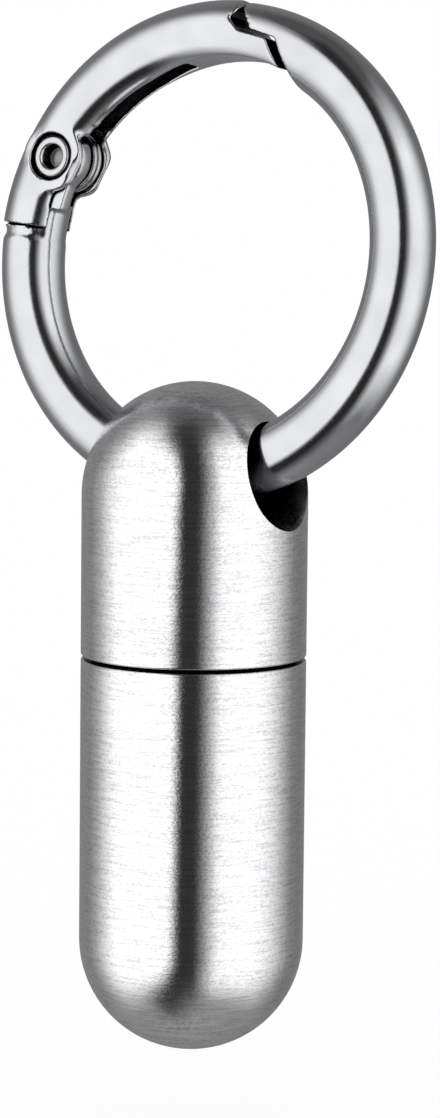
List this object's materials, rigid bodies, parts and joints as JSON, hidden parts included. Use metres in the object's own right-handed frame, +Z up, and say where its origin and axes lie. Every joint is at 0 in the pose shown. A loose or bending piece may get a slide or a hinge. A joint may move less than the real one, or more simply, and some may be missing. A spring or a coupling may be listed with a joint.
{
  "type": "pill fob keychain",
  "caption": "Slim metal pill capsule in two screwed halves, hung through its dome on a key ring with a sprung gate.",
  "frame": {"origin": "inside of the top of the ring, in the middle of its wire's width, where the fob hangs from a key ring or hook", "axes": "+Z up, the capsule hangs down it; +X along the cross hole and across the ring, with the gate on the -X side; -Y towards the front"},
  "size_m": [0.0311, 0.014, 0.0651],
  "materials": {
    "capsule_cap": "brushed round the capsule",
    "capsule_body": "brushed round the capsule",
    "seal_ring": "matt black rubber",
    "ring_frame": "polished plating, a little satin",
    "gate": "polished plating, a little satin",
    "hinge_rivet": "turned and rolled over",
    "gate_spring": "bright drawn spring wire"
  },
  "bodies": {
    "ring": {"ring_frame": "ring_frame", "hinge_rivet": "hinge_rivet", "gate_spring": "gate_spring"},
    "gate": {"gate": "gate"},
    "cap": {"capsule_cap": "capsule_cap"},
    "seal": {"seal_ring": "seal_ring"},
    "body": {"capsule_body": "capsule_body"}
  },
  "joints": [
    {"name": "gate_hinge", "type": "hinge", "parent": "ring", "child": "gate", "pos_m": [-0.0115, -0.00083, -0.00593], "axis": [0, 0.9903, -0.1392], "range_deg": [0, 30], "stiffness_Nm_per_rad": 0.05, "springref_deg": -28.65, "deforming": ["gate_spring"]},
    {"name": "capsule_swing", "type": "hinge", "parent": "ring", "child": "cap", "pos_m": [0, -0.00338, -0.02406], "axis": [1, 0, 0], "range_deg": [-90, 90]},
    {"name": "unscrew_travel", "type": "slide", "parent": "cap", "child": "seal", "axis": [0, 0, -1], "range_m": [0, 0.0066]},
    {"name": "unscrew_turn", "type": "hinge", "parent": "seal", "child": "body", "pos_m": [0, -0.00338, -0.0365], "axis": [0, 0, -1], "range_deg": [0, 2340]}
  ],
  "couplings": [
    {"joint": "unscrew_travel", "follows": "unscrew_turn", "m_per_rad": 0.00015915}
  ]
}
